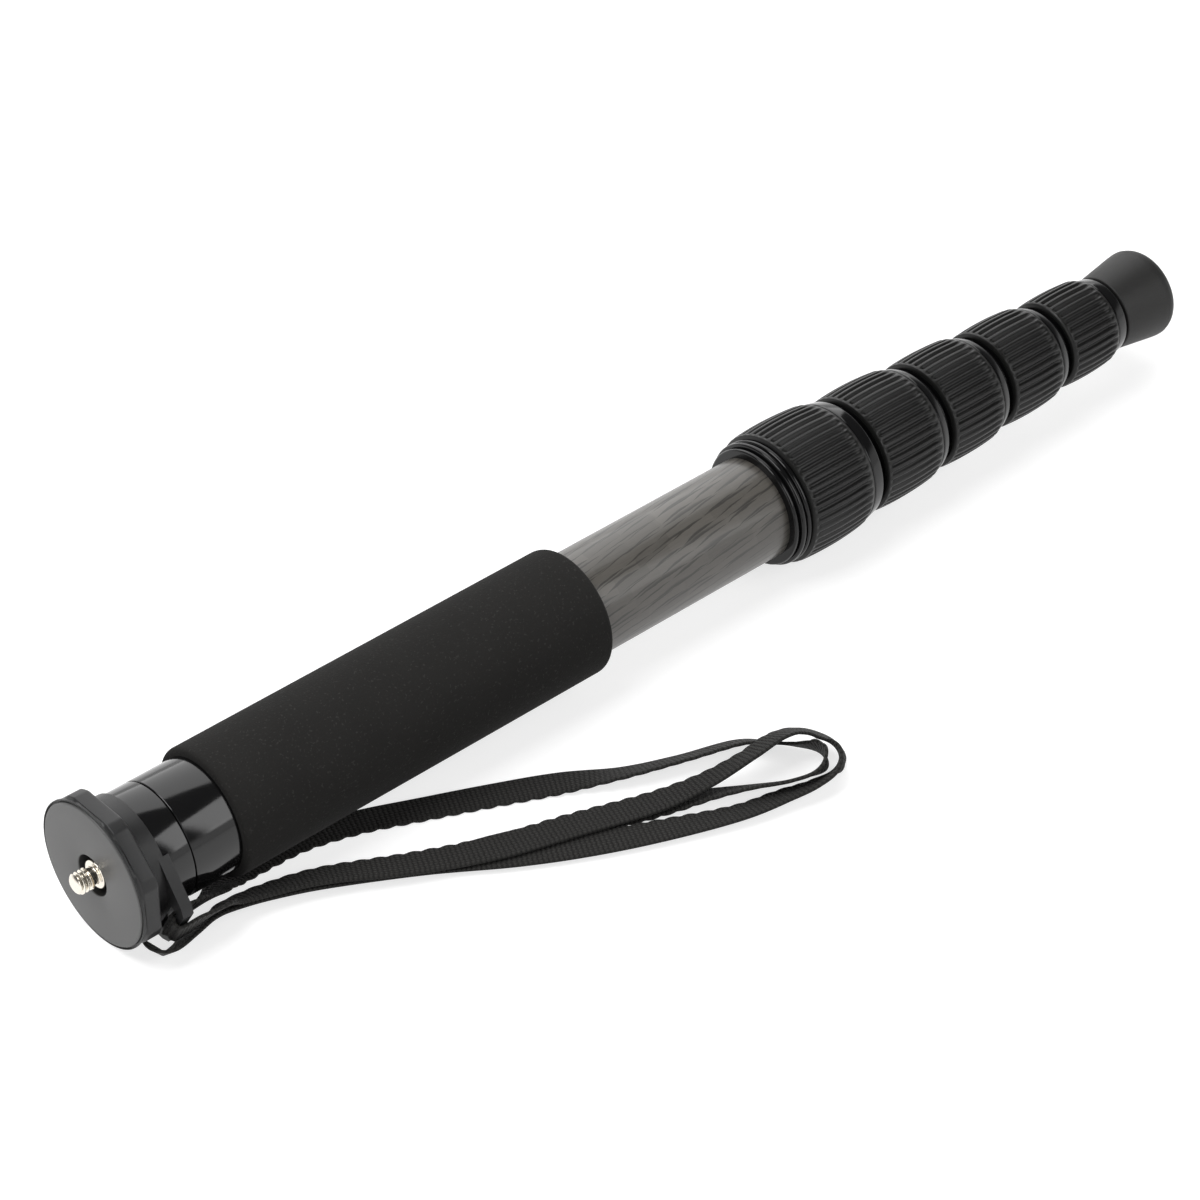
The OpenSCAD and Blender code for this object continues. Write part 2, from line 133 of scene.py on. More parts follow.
class Nodes:
    """Adds and joins the nodes of one shader or geometry tree."""

    def __init__(self, tree):
        self.tree = tree

    def add(self, kind, **settings):
        node = self.tree.nodes.new(kind)
        for name, value in settings.items():
            setattr(node, name, value)
        return node

    def put(self, value, socket):
        """Links another node's output to a socket, or sets a plain value on it."""
        if isinstance(value, bpy.types.NodeSocket):
            self.tree.links.new(value, socket)
        else:
            socket.default_value = value

    def wired(self, kind, inputs, **settings):
        """The outputs of a new node that has these links or values on its inputs."""
        node = self.add(kind, **settings)
        for name, value in inputs.items():
            self.put(value, node.inputs[name])
        return node.outputs

    def math(self, operation, *values):
        return self.wired("ShaderNodeMath", dict(enumerate(values)), operation=operation)[0]

    def times(self, first, second):
        return self.math("MULTIPLY", first, second)

    def plus(self, first, second):
        return self.math("ADD", first, second)

    def minus(self, first, second):
        return self.math("SUBTRACT", first, second)

    def over(self, first, second):
        return self.math("DIVIDE", first, second)

    def smooth(self, *values):
        """A smooth step of a value from low to high, and from zero to one if no other ends are given."""
        return self.wired("ShaderNodeMapRange", dict(enumerate(values)), interpolation_type="SMOOTHSTEP")[0]

    def apart(self, vector):
        return self.wired("ShaderNodeSeparateXYZ", {0: vector})

    def together(self, x, y, z):
        return self.wired("ShaderNodeCombineXYZ", {0: x, 1: y, 2: z})[0]

    def line(self, value, slope, start):
        """Slope times the value, added to the start."""
        return self.plus(self.times(value, slope), start)

    def noise(self, vector, scale, detail=3.0, roughness=0.55):
        inputs = {"Vector": vector, "Scale": scale, "Detail": detail, "Roughness": roughness}
        return self.wired("ShaderNodeTexNoise", inputs)["Fac"]

    def mix_colour(self, share, first, second):
        # The mix node's two colours and their result come after its sockets of other kinds
        return self.wired("ShaderNodeMix", {0: share, 6: first, 7: second}, data_type="RGBA")[2]

    def group(self, tree, **values):
        inputs = {name.replace("_", " "): value for name, value in values.items()}
        return self.wired("ShaderNodeGroup", inputs, node_tree=tree)


def made_once(build):
    """Keeps the node groups and finishes that are built, so that all who ask for one get the same."""
    kept = {}

    def ask(*args):
        if args not in kept:
            kept[args] = build(*args)
        return kept[args]

    return ask


BLACK = (0, 0, 0, 1)
WHITE = (1, 1, 1, 1)


def rgba(colour_value, gain=1.0):
    return (*(gain * part for part in colour_value), 1.0)


def shader_group(name, inputs, outputs):
    """An empty shader node group: its tree, its nodes, its inputs and its outputs.

    An input is a number with its default, or a vector where the default is None. Every output is a number.
    """
    tree = bpy.data.node_groups.new(name, "ShaderNodeTree")
    for label, default in inputs.items():
        kind = "NodeSocketVector" if default is None else "NodeSocketFloat"
        socket = tree.interface.new_socket(label, in_out="INPUT", socket_type=kind)
        if default is not None:
            socket.default_value = default
    for label in outputs:
        tree.interface.new_socket(label, in_out="OUTPUT", socket_type="NodeSocketFloat")
    nodes = Nodes(tree)
    return tree, nodes, nodes.add("NodeGroupInput").outputs, nodes.add("NodeGroupOutput").inputs


@made_once
def grain_group():
    """Fine moulded or sprayed grain: a colour factor and a height, both from the same noise."""
    tree, nodes, given, result = shader_group(
        "fine_grain", {"Vector": None, "Fine Scale": 4000.0, "Broad Scale": 60.0, "Contrast": 0.2},
        ("Tone", "Height"))
    fine_share = 0.6
    fine = nodes.noise(given["Vector"], given["Fine Scale"], detail=2.0, roughness=0.5)
    broad = nodes.noise(given["Vector"], given["Broad Scale"], detail=3.0, roughness=0.5)
    blend = nodes.plus(nodes.times(fine, fine_share), nodes.times(broad, 1 - fine_share))
    nodes.put(nodes.line(nodes.minus(blend, 0.5), given["Contrast"], 1.0), result["Tone"])
    nodes.put(fine, result["Height"])
    return tree


@made_once
def unrolled_group():
    """The tube's surface laid flat: distance along the axis and round the tube, from object coordinates."""
    tree, nodes, given, result = shader_group(
        "unrolled_tube", {"Vector": None, "Radius": 0.016}, ("Along", "Round"))
    x, y, z = nodes.apart(given["Vector"])
    angle = nodes.math("ARCTAN2", y, nodes.minus(z, AXIS_Z))
    nodes.put(x, result["Along"])
    nodes.put(nodes.times(angle, given["Radius"]), result["Round"])
    return tree


@made_once
def strand_group():
    """A layer of carbon strands on a surface laid flat: the tone of each lozenge and its one dark edge."""
    tree, nodes, given, result = shader_group(
        "carbon_strands", {"Along": 0.0, "Round": 0.0, "Slope": 0.2, "Width": 0.003, "Length": 0.02},
        ("Tone", "Edge"))
    most_shift = 7.0
    least_reach, reach_spread = 0.06, 0.32
    lean = nodes.times(given["Along"], given["Slope"])
    row = nodes.over(nodes.minus(given["Round"], lean), given["Width"])
    strand = nodes.math("FLOOR", row)
    across = nodes.math("FRACT", row)
    shift = nodes.wired("ShaderNodeTexWhiteNoise", {"W": strand}, noise_dimensions="1D")["Value"]
    along = nodes.line(shift, most_shift, nodes.over(given["Along"], given["Length"]))
    lozenge = nodes.together(strand, nodes.math("FLOOR", along), 0.0)
    chance = nodes.wired("ShaderNodeTexWhiteNoise", {"Vector": lozenge}, noise_dimensions="3D")["Value"]
    swell = nodes.math("SINE", nodes.times(nodes.math("FRACT", along), math.pi))
    # The dark edge is a wedge, widest in the middle of its lozenge
    reach = nodes.times(swell, nodes.line(chance, reach_spread, least_reach))
    wedge = nodes.minus(1.0, nodes.over(across, nodes.math("MAXIMUM", reach, 0.01)))
    nodes.put(chance, result["Tone"])
    nodes.put(nodes.math("MAXIMUM", wedge, 0.0), result["Edge"])
    return tree


@made_once
def weave_group():
    """Plain weave on a band whose UV map is in millimetres: height of the yarns, and a tone that is painted
    shade, darker down between the yarns, with a random fuzz.
    """
    tree, nodes, given, result = shader_group(
        "webbing_weave", {"UV": None, "Rib Pitch": 1.4, "Row Pitch": 0.95}, ("Height", "Tone"))
    odd_row_shift = 0.14
    flat_share = 0.65
    along, across, _ = nodes.apart(given["UV"])
    row = nodes.over(across, given["Row Pitch"])
    odd = nodes.math("MODULO", nodes.math("FLOOR", nodes.plus(row, KEEP_POSITIVE)), 2.0)
    rib = nodes.plus(nodes.over(along, given["Rib Pitch"]), nodes.times(odd, odd_row_shift))
    rib_wave = nodes.math("ABSOLUTE", nodes.math("SINE", nodes.times(rib, math.pi)))
    row_wave = nodes.math("ABSOLUTE", nodes.math("SINE", nodes.times(row, math.pi)))
    yarn = nodes.times(rib_wave, nodes.line(row_wave, 1 - flat_share, flat_share))
    fuzz = nodes.noise(given["UV"], 6.0)
    nodes.put(nodes.plus(nodes.times(yarn, 0.8), nodes.times(fuzz, 0.2)), result["Height"])
    # Painted shade: the tone follows the yarns' height, so the colour is darker between the yarns
    nodes.put(nodes.line(fuzz, 0.5, yarn), result["Tone"])
    return tree


class Finish:
    """One procedural material: its nodes, its Principled shader and its object coordinates."""

    def __init__(self, name, **sockets):
        self.material = bpy.data.materials.new(name)
        self.material.use_nodes = True
        self.nodes = Nodes(self.material.node_tree)
        self.shader = self.material.node_tree.nodes["Principled BSDF"]
        self.place = self.nodes.add("ShaderNodeTexCoord").outputs
        for label, value in sockets.items():
            self.set(label.replace("_", " "), value)

    def set(self, label, value):
        """Sets a socket of the shader, or links it."""
        self.nodes.put(value, self.shader.inputs[label])

    def tint(self, base, tone):
        """Base colour, multiplied by a tone that changes over the surface."""
        self.set("Base Color", self.nodes.mix_colour(self.nodes.times(tone, 0.5), BLACK, rgba(base, 2.0)))

    def bump(self, height, distance, strength=1.0):
        inputs = {"Strength": strength, "Distance": distance, "Height": height}
        self.set("Normal", self.nodes.wired("ShaderNodeBump", inputs)["Normal"])

    def grain(self, base, fine, broad, contrast, relief, rough, rough_spread=0.1):
        """Fine grain in colour, roughness and relief, on the colour of that name."""
        out = self.nodes.group(grain_group(), Vector=self.place["Object"], Fine_Scale=fine,
                               Broad_Scale=broad, Contrast=contrast)
        self.tint(getattr(colours(), base), out["Tone"])
        self.set("Roughness", self.nodes.line(self.nodes.minus(out["Height"], 0.5), rough_spread, rough))
        self.bump(out["Height"], relief)


# Finishes of one colour with a fine grain: the colour, the scales of the fine and of the broad noise, their
# contrast, the height of the relief in metres and the roughness
GRAINS = {
    "satin_disc": dict(base="disc_grey", fine=5200, broad=45, contrast=0.25, relief=0.00003, rough=0.42),
    "satin_rim": dict(base="rim_grey", fine=4200, broad=60, contrast=0.35, relief=0.00004, rough=0.38),
    # Painted shade for the deep well round the camera screw
    "well_black": dict(base="well_black", fine=3000, broad=50, contrast=0.3, relief=0.00003, rough=0.6),
    "nickel_plate": dict(base="nickel", fine=2600, broad=300, contrast=0.3, relief=0.00001, rough=0.2),
    "sleeve_rubber": dict(base="sleeve_black", fine=3600, broad=90, contrast=0.4, relief=0.00004,
                          rough=0.34, rough_spread=0.16),
    "foot_rubber": dict(base="foot_grey", fine=2600, broad=70, contrast=0.4, relief=0.00007, rough=0.5),
    "stitch_thread": dict(base="thread_black", fine=5000, broad=400, contrast=0.5, relief=0.00004,
                          rough=0.6),
    "nylon_white": dict(base="nylon_white", fine=2200, broad=80, contrast=0.15, relief=0.00003, rough=0.45),
}
# Other settings of their shaders
GRAIN_SETTINGS = {
    "satin_rim": {"Specular_IOR_Level": 0.35},
    "nickel_plate": {"Metallic": 1.0},
    "sleeve_rubber": {"Specular_IOR_Level": 0.26},
    "foot_rubber": {"Specular_IOR_Level": 0.3},
    "stitch_thread": {"Sheen_Weight": 0.2},
}


@made_once
def grain_finish(name):
    """One of the grained finishes above."""
    finish = Finish(name, **GRAIN_SETTINGS.get(name, {}))
    finish.grain(**GRAINS[name])
    return finish.material


@made_once
def gloss_finish(name, reflection):
    """Gloss black metal with faint turning marks along the axis."""
    finish = Finish(name, Specular_IOR_Level=reflection)
    nodes = finish.nodes
    where = finish.place["Object"]
    x, _, _ = nodes.apart(where)
    marks = nodes.noise(nodes.together(x, 0.0, 0.0), scale=9000.0, detail=1.0)
    smears = nodes.noise(where, scale=130.0)
    finish.tint(colours().gloss_black, nodes.line(smears, 0.4, 0.8))
    finish.set("Roughness", nodes.line(smears, 0.08, 0.07))
    finish.bump(marks, 0.000004)
    return finish.material


def neck_metal():
    return gloss_finish("gloss_neck", 0.5)


def lock_metal():
    return gloss_finish("gloss_lock", 0.28)


@made_once
def foam_finish():
    """Closed-cell foam: a fine speckle of cut cells over matte black."""
    finish = Finish("foam_black", Sheen_Weight=0.02, Sheen_Roughness=0.5, Specular_IOR_Level=0.08)
    nodes = finish.nodes
    where = finish.place["Object"]
    cells = nodes.wired("ShaderNodeTexVoronoi", {"Vector": where, "Scale": 1900}, feature="F1")
    broad = nodes.noise(where, scale=55.0)
    specks = nodes.smooth(nodes.noise(where, scale=1300.0, detail=1.0), 0.62, 0.72)
    finish.tint(colours().foam_black, nodes.line(specks, 0.7, nodes.line(broad, 0.35, 0.78)))
    finish.set("Roughness", nodes.line(broad, 0.1, 0.85))
    finish.bump(cells["Distance"], 0.00012, strength=0.6)
    return finish.material


# Layers of carbon strands: width of a strand, slope from the axis, length of a lozenge, weight of the
# lozenges' tone and of their dark edges
CARBON_LAYERS = ((0.0030, 0.15, 0.014, 0.22, 2.0), (0.0042, 0.09, 0.022, 0.18, 1.2))


@made_once
def carbon_finish(radius):
    """Lacquered carbon: two layers of long lozenges at small angles to the axis, with fibre streaks."""
    finish = Finish("carbon_tube_%d" % round(2 * radius / MM), Coat_Weight=0.28, Coat_Roughness=0.12)
    nodes = finish.nodes
    flat = nodes.group(unrolled_group(), Vector=finish.place["Object"], Radius=radius)
    along, round_tube = flat["Along"], flat["Round"]
    # Both noises are drawn out along the tube
    drift = nodes.noise(nodes.together(nodes.times(along, 0.5), round_tube, 0.0), scale=300.0)
    fibres = nodes.noise(nodes.together(nodes.times(along, 0.05), round_tube, 0.0), scale=2600.0)
    wavy = nodes.line(nodes.minus(drift, 0.5), 0.0009, round_tube)
    shade = nodes.line(fibres, 0.5, 0.42)
    around = TURN * radius
    for width, slope, lozenge, tone, edge in CARBON_LAYERS:
        # A whole number of strands goes round the tube
        layer = nodes.group(strand_group(), Along=along, Round=wavy, Slope=slope,
                            Width=around / round(around / width), Length=lozenge)
        shade = nodes.line(nodes.minus(layer["Tone"], 0.5), tone, shade)
        shade = nodes.minus(shade, nodes.times(layer["Edge"], edge))
    dark, light = rgba(colours().carbon_dark), rgba(colours().carbon_light)
    finish.set("Base Color", nodes.mix_colour(shade, dark, light))
    finish.set("Roughness", nodes.line(fibres, 0.15, 0.36))
    finish.bump(fibres, 0.00001)
    return finish.material


@made_once
def webbing_finish():
    """Black woven webbing, on the band's own UV map, with painted shade down between its yarns."""
    finish = Finish("webbing_black", Sheen_Weight=0.06, Sheen_Roughness=0.4, Specular_IOR_Level=0.25,
                    Roughness=0.75)
    weave = finish.nodes.group(weave_group(), UV=finish.place["UV"])
    # Painted shade from the weave darkens the colour between the yarns
    finish.tint(colours().webbing_black, weave["Tone"])
    finish.bump(weave["Height"], 0.0005)
    return finish.material


def span(node):
    """Start, end and outer radius of a round CAD node on the tube axis."""
    low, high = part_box(node)
    return low.x, high.x, (high.z - low.z) / 2


def fillet(corners, steps=4):
    """An outline of (x, radius) points from corners of (x, radius) or (x, radius, rounding)."""
    outline = []
    for i, corner in enumerate(corners):
        here = Vector(corner[:2])
        if len(corner) == 2:
            outline.append(here)
            continue
        before = Vector(corners[i - 1][:2]) - here
        after = Vector(corners[(i + 1) % len(corners)][:2]) - here
        start = here + before.normalized() * corner[2]
        end = here + after.normalized() * corner[2]
        for step in range(steps + 1):
            t = step / steps
            outline.append(start * (1 - t) ** 2 + here * 2 * t * (1 - t) + end * t ** 2)
    return outline


def arc_drop(radius, past):
    """How far a quarter round has fallen at a distance past its start."""
    return radius - math.sqrt(max(0.0, radius ** 2 - past ** 2))


def finish_mesh(bm, name, material):
    """A new object from a bmesh, with outward faces, smooth but for its sharp edges."""
    bmesh.ops.remove_doubles(bm, verts=bm.verts, dist=MERGE_DISTANCE)
    bmesh.ops.recalc_face_normals(bm, faces=bm.faces)
    for face in bm.faces:
        face.smooth = True
    for edge in bm.edges:
        edge.smooth = len(edge.link_faces) != 2 or edge.calc_face_angle() < SHARP_ANGLE
    mesh = bpy.data.meshes.new(name)
    bm.to_mesh(mesh)
    bm.free()
    mesh.materials.append(material)
    piece = bpy.data.objects.new(name, mesh)
    bpy.context.scene.collection.objects.link(piece)
    return piece


def on_axis(x, radius, angle):
    """A point at a radius and an angle from straight up, towards +Y."""
    return Vector((x, radius * math.sin(angle), AXIS_Z + radius * math.cos(angle)))


def join_rings(bm, rings):
    """Makes the faces between each ring of vertices and the following one."""
    for ring, following in zip(rings, rings[1:]):
        for i, vert in enumerate(ring):
            j = (i + 1) % len(ring)
            corners = list(dict.fromkeys((vert, ring[j], following[j], following[i])))
            if len(corners) > 2:
                bm.faces.new(corners)


def turned_bmesh(outline, steps=ROUND_STEPS, radius_at=None):
    """A closed body of revolution round the tube axis. radius_at(x, radius, angle) may reshape it."""
    bm = bmesh.new()
    rings = []
    for x, radius in outline:
        if radius < MERGE_DISTANCE:
            rings.append([bm.verts.new((x, 0, AXIS_Z))] * steps)
            continue
        ring = []
        for i in range(steps):
            angle = TURN * i / steps
            reach = radius_at(x, radius, angle) if radius_at else radius
            ring.append(bm.verts.new(on_axis(x, reach, angle)))
        rings.append(ring)
    join_rings(bm, rings + rings[:1])
    return bm


def turned(name, corners, material, steps=ROUND_STEPS, radius_at=None, round_steps=4):
    return finish_mesh(turned_bmesh(fillet(corners, round_steps), steps, radius_at), name, material)


def place(piece, body, slot, *nodes):
    """A finished piece rides on its body and stands for its CAD nodes."""
    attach(piece, body)
    if nodes:
        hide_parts(*nodes)


# Inputs of the geometry trees that are no plain numbers
SOCKET_KINDS = {"Rib Count": "NodeSocketInt", "Material": "NodeSocketMaterial"}


def geometry_tree(name, *labels):
    """An empty geometry node tree from a mesh and these inputs to a mesh: its tree, nodes and two ends."""
    tree = bpy.data.node_groups.new(name, "GeometryNodeTree")
    tree.interface.new_socket("Geometry", in_out="INPUT", socket_type="NodeSocketGeometry")
    for label in labels:
        kind = SOCKET_KINDS.get(label, "NodeSocketFloat")
        tree.interface.new_socket(label, in_out="INPUT", socket_type=kind)
    tree.interface.new_socket("Geometry", in_out="OUTPUT", socket_type="NodeSocketGeometry")
    nodes = Nodes(tree)
    return tree, nodes, nodes.add("NodeGroupInput").outputs, nodes.add("NodeGroupOutput").inputs


def close_tree(nodes, shape, material, result):
    """Ends a geometry tree: real meshes in one material."""
    real = nodes.wired("GeometryNodeRealizeInstances", {"Geometry": shape})["Geometry"]
    coat = nodes.wired("GeometryNodeSetMaterial", {"Geometry": real, "Material": material})
    nodes.put(coat["Geometry"], result["Geometry"])


def run_tree(piece, tree, **values):
    """The plain mesh that a geometry tree makes from a piece."""
    modifier = piece.modifiers.new(tree.name, "NODES")
    modifier.node_group = tree
    sockets = {item.name: item.identifier for item in tree.interface.items_tree if item.in_out == "INPUT"}
    for name, value in values.items():
        modifier[sockets[name.replace("_", " ")]] = value
    graph = bpy.context.evaluated_depsgraph_get()
    mesh = bpy.data.meshes.new_from_object(piece.evaluated_get(graph), depsgraph=graph)
    piece.modifiers.remove(modifier)
    return mesh


def rib_tree():
    """Presses grooves into a smooth sleeve, so that ribs stand between them."""
    tree, nodes, given, result = geometry_tree(
        "sleeve_ribs", "Rib Count", "Depth", "Skin Radius", "First X", "Last X", "Material")
    begin_length, end_length = 1.4 * MM, 4 * MM
    x, y, z = nodes.apart(nodes.add("GeometryNodeInputPosition").outputs[0])
    height = nodes.minus(z, AXIS_Z)
    radius = nodes.math("SQRT", nodes.plus(nodes.times(y, y), nodes.times(height, height)))
    turn = nodes.over(nodes.math("ARCTAN2", y, height), TURN)
    share = nodes.math("FRACT", nodes.line(turn, given["Rib Count"], KEEP_POSITIVE))
    # Zero in the middle of a rib and one in the middle of a groove
    from_rib = nodes.math("ABSOLUTE", nodes.minus(nodes.times(share, 2.0), 1.0))
    groove = nodes.smooth(from_rib, 0.25, 0.85)
    begun = nodes.smooth(nodes.minus(x, given["First X"]), 0.0, begin_length)
    ended = nodes.smooth(nodes.minus(x, given["Last X"]), -end_length, 0.0, 1.0, 0.0)
    skin = nodes.math("GREATER_THAN", radius, given["Skin Radius"])
    depth = nodes.times(nodes.times(groove, begun), nodes.times(ended, skin))
    inward = nodes.over(nodes.times(nodes.times(depth, given["Depth"]), -1.0), radius)
    offset = nodes.together(0.0, nodes.times(inward, y), nodes.times(inward, height))
    move = nodes.wired("GeometryNodeSetPosition", {"Geometry": given["Geometry"], "Offset": offset})
    close_tree(nodes, move["Geometry"], given["Material"], result)
    return tree


def stitch_tree():
    """Lays one thread stitch at each step of a seam line."""
    tree, nodes, given, result = geometry_tree(
        "seam_stitches", "Pitch", "Stitch Length", "Thread Radius", "Material")
    steps = nodes.wired("GeometryNodeResampleCurve", {"Curve": given["Geometry"], "Length": given["Pitch"]},
                        mode="LENGTH")
    thread = nodes.wired("GeometryNodeMeshCylinder", {
        "Vertices": 8, "Radius": given["Thread Radius"], "Depth": given["Stitch Length"],
    }, fill_type="TRIANGLE_FAN")
    tangent = nodes.wired("GeometryNodeInputTangent", {})[0]
    turn = nodes.wired("FunctionNodeAlignRotationToVector", {"Vector": tangent}, axis="Z")
    lay = nodes.wired("GeometryNodeInstanceOnPoints", {
        "Points": steps["Curve"], "Instance": thread["Mesh"], "Rotation": turn["Rotation"]})
    close_tree(nodes, lay["Instances"], given["Material"], result)
    return tree


# Wrist strap. Each point is (place from the plate's face, y, height of the band's middle, tilt of its width
# from level in degrees), in metres. Beside the tab a point is given by its distance from the tube axis.
TAB_TURN = math.radians(120)


def at_tab(x, out, tilt):
    return (x, -out * math.sin(TAB_TURN), AXIS_Z + out * math.cos(TAB_TURN), tilt)


# From the slot along the grip, round the inner turn and back under the outer run
INNER_RUN = [
    at_tab(0.0128, 0.0205, -60), at_tab(0.017, 0.0206, -60), (0.023, -0.0156, 0.009, -48),
    (0.030, -0.0114, 0.0049, -28), (0.038, -0.0066, 0.0018, -8), (0.050, -0.0052, 0.0008, 0),
    (0.064, -0.0062, 0.0007, 0), (0.080, -0.011, 0.0007, 0), (0.097, -0.0188, 0.0007, 0),
    (0.115, -0.0273, 0.0007, 0), (0.132, -0.036, 0.0009, -3), (0.147, -0.046, 0.0026, -24),
    (0.163, -0.053, 0.0032, -32), (0.179, -0.0585, 0.0033, -34), (0.185, -0.064, 0.0036, -38),
    (0.190, -0.070, 0.0039, -43), (0.1935, -0.076, 0.0046, -58), (0.1915, -0.0815, 0.005, -90),
    (0.1855, -0.083, 0.0043, -130), (0.178, -0.0804, 0.0037, -138), (0.169, -0.075, 0.0034, -143),
    (0.160, -0.0694, 0.0026, -154), (0.150, -0.0636, 0.0014, -171), (0.138, -0.058, 0.0007, -180),
    (0.120, -0.0512, 0.0007, -180), (0.100, -0.0432, 0.0007, -180), (0.084, -0.0364, 0.0006, -180),
    (0.070, -0.0295, 0.0006, -180),
]
# From the slot round the tab's rim, along the ground, round the outer turn and back to the plate
OUTER_RUN = [
    at_tab(0.0122, 0.0205, -120), at_tab(0.0109, 0.02065, -118), at_tab(0.010, 0.0214, -101),
    at_tab(0.010, 0.0228, -90), at_tab(0.010, 0.024, -82), at_tab(0.0106, 0.0249, -63),
    at_tab(0.0122, 0.0251, -60), at_tab(0.017, 0.025, -59), (0.024, -0.0208, 0.009, -46),
    (0.031, -0.018, 0.0057, -32), (0.042, -0.0196, 0.0047, -22), (0.057, -0.025, 0.0045, -14),
    (0.079, -0.037, 0.0038, -4), (0.100, -0.047, 0.0036, 0), (0.122, -0.0543, 0.0036, 0),
    (0.145, -0.0616, 0.0032, -6), (0.160, -0.0662, 0.0054, -19), (0.173, -0.069, 0.0086, -29),
    (0.183, -0.0695, 0.010, -30), (0.1905, -0.070, 0.0084, -30), (0.196, -0.073, 0.006, -34),
    (0.1975, -0.079, 0.0052, -50), (0.1945, -0.0845, 0.0051, -88), (0.189, -0.0864, 0.0043, -132),
    (0.182, -0.0856, 0.0034, -148), (0.174, -0.0832, 0.0027, -157), (0.160, -0.0794, 0.0021, -163),
    (0.140, -0.071, 0.0021, -175), (0.121, -0.0618, 0.0021, -180), (0.103, -0.0515, 0.0021, -180),
    (0.082, -0.0375, 0.0022, -178), (0.058, -0.0254, 0.0028, -166), (0.043, -0.0196, 0.003, -157),
    (0.032, -0.017, 0.0032, -149), (0.024, -0.017, 0.0036, -142), (0.016, -0.019, 0.0037, -139),
    (0.009, -0.0206, 0.0038, -136), (0.006, -0.019, 0.0042, -130), (0.006, -0.016, 0.0044, -126),
]
BAND_STEP = 0.0007


def smooth_run(run):
    """Close points on a smooth curve through the run's points, each with its tilt in degrees."""
    knots = [Vector(point) for point in run]
    knots = [2 * knots[0] - knots[1], *knots, 2 * knots[-1] - knots[-2]]
    points = []
    for i in range(1, len(knots) - 2):
        a, b, c, d = knots[i - 1:i + 3]
        steps = max(2, math.ceil((c - b).xyz.length / BAND_STEP))
        for step in range(steps):
            t = step / steps
            points.append(0.5 * (2 * b + (c - a) * t + (2 * a - 5 * b + 4 * c - d) * t ** 2
                                 + (3 * b - a - 3 * c + d) * t ** 3))
    points.append(knots[-2])
    return points


def band_frames(run):
    """Centre, width direction, face direction and distance along the band, at each point of a run."""
    points = smooth_run(run)
    centres = [Vector((p.x + PLATE_FACE_X, p.y, p.z)) for p in points]
    frames = []
    distance = 0.0
    for i, (centre, point) in enumerate(zip(centres, points)):
        ahead = (centres[min(i + 1, len(centres) - 1)] - centres[max(i - 1, 0)]).normalized()
        level = Vector((-ahead.y, ahead.x, 0)).normalized()
        tilt = math.radians(point.w)
        width = level * math.cos(tilt) + Vector((0, 0, math.sin(tilt)))
        width = (width - width.dot(ahead) * ahead).normalized()
        if i:
            distance += (centre - centres[i - 1]).length
        frames.append((centre, width, ahead.cross(width), distance))
    return frames


# Upper half of the webbing's section: share of its half width and of its half thickness
WEBBING_TOP = [
    (-1.0, 0.0), (-0.985, 0.55), (-0.94, 0.9), (-0.85, 1.0), (-0.5, 1.0), (0.0, 1.0), (0.5, 1.0),
    (0.85, 1.0), (0.94, 0.9), (0.985, 0.55),
]
WEBBING_SECTION = WEBBING_TOP + [(-across, -height) for across, height in WEBBING_TOP]
# The share of the half width beyond which the edge is scalloped, and the middle of a scallop's wave
SCALLOPED_FROM = 0.6
SCALLOP_MIDDLE = 0.6
# A free end is cut to a taper, over this length and by this share of its width
END_TAPER = 0.035
END_NARROWING = 0.35


def webbing_band(name, frames, scalloped_side, tapered):
    """Woven band along its frames, with scallops on one edge and its UV map in millimetres."""
    last = frames[-1][3]
    half_width = sizes().strap_width / 2
    half_thickness = sizes().strap_thickness / 2
    bm = bmesh.new()
    uv_layer = bm.loops.layers.uv.new("UVMap")
    rings = []
    uvs = {}
    for centre, width, up, distance in frames:
        bulge = abs(math.sin(math.pi * distance / sizes().scallop_pitch)) - SCALLOP_MIDDLE
        into_end = max(0.0, 1 - (last - distance) / END_TAPER) if tapered else 0.0
        ring = []
        for across, height in WEBBING_SECTION:
            reach = across * half_width * (1 - END_NARROWING * into_end)
            if across * scalloped_side > SCALLOPED_FROM:
                reach += scalloped_side * bulge * sizes().scallop_height
            vert = bm.verts.new(centre + width * reach + up * height * half_thickness)
            uvs[vert] = (distance / MM, reach / MM)
            ring.append(vert)
        rings.append(ring)
    join_rings(bm, rings)
    bm.faces.new(rings[0])
    bm.faces.new(rings[-1])
    for face in bm.faces:
        for loop in face.loops:
            loop[uv_layer].uv = uvs[loop.vert]
    return finish_mesh(bm, name, webbing_finish())


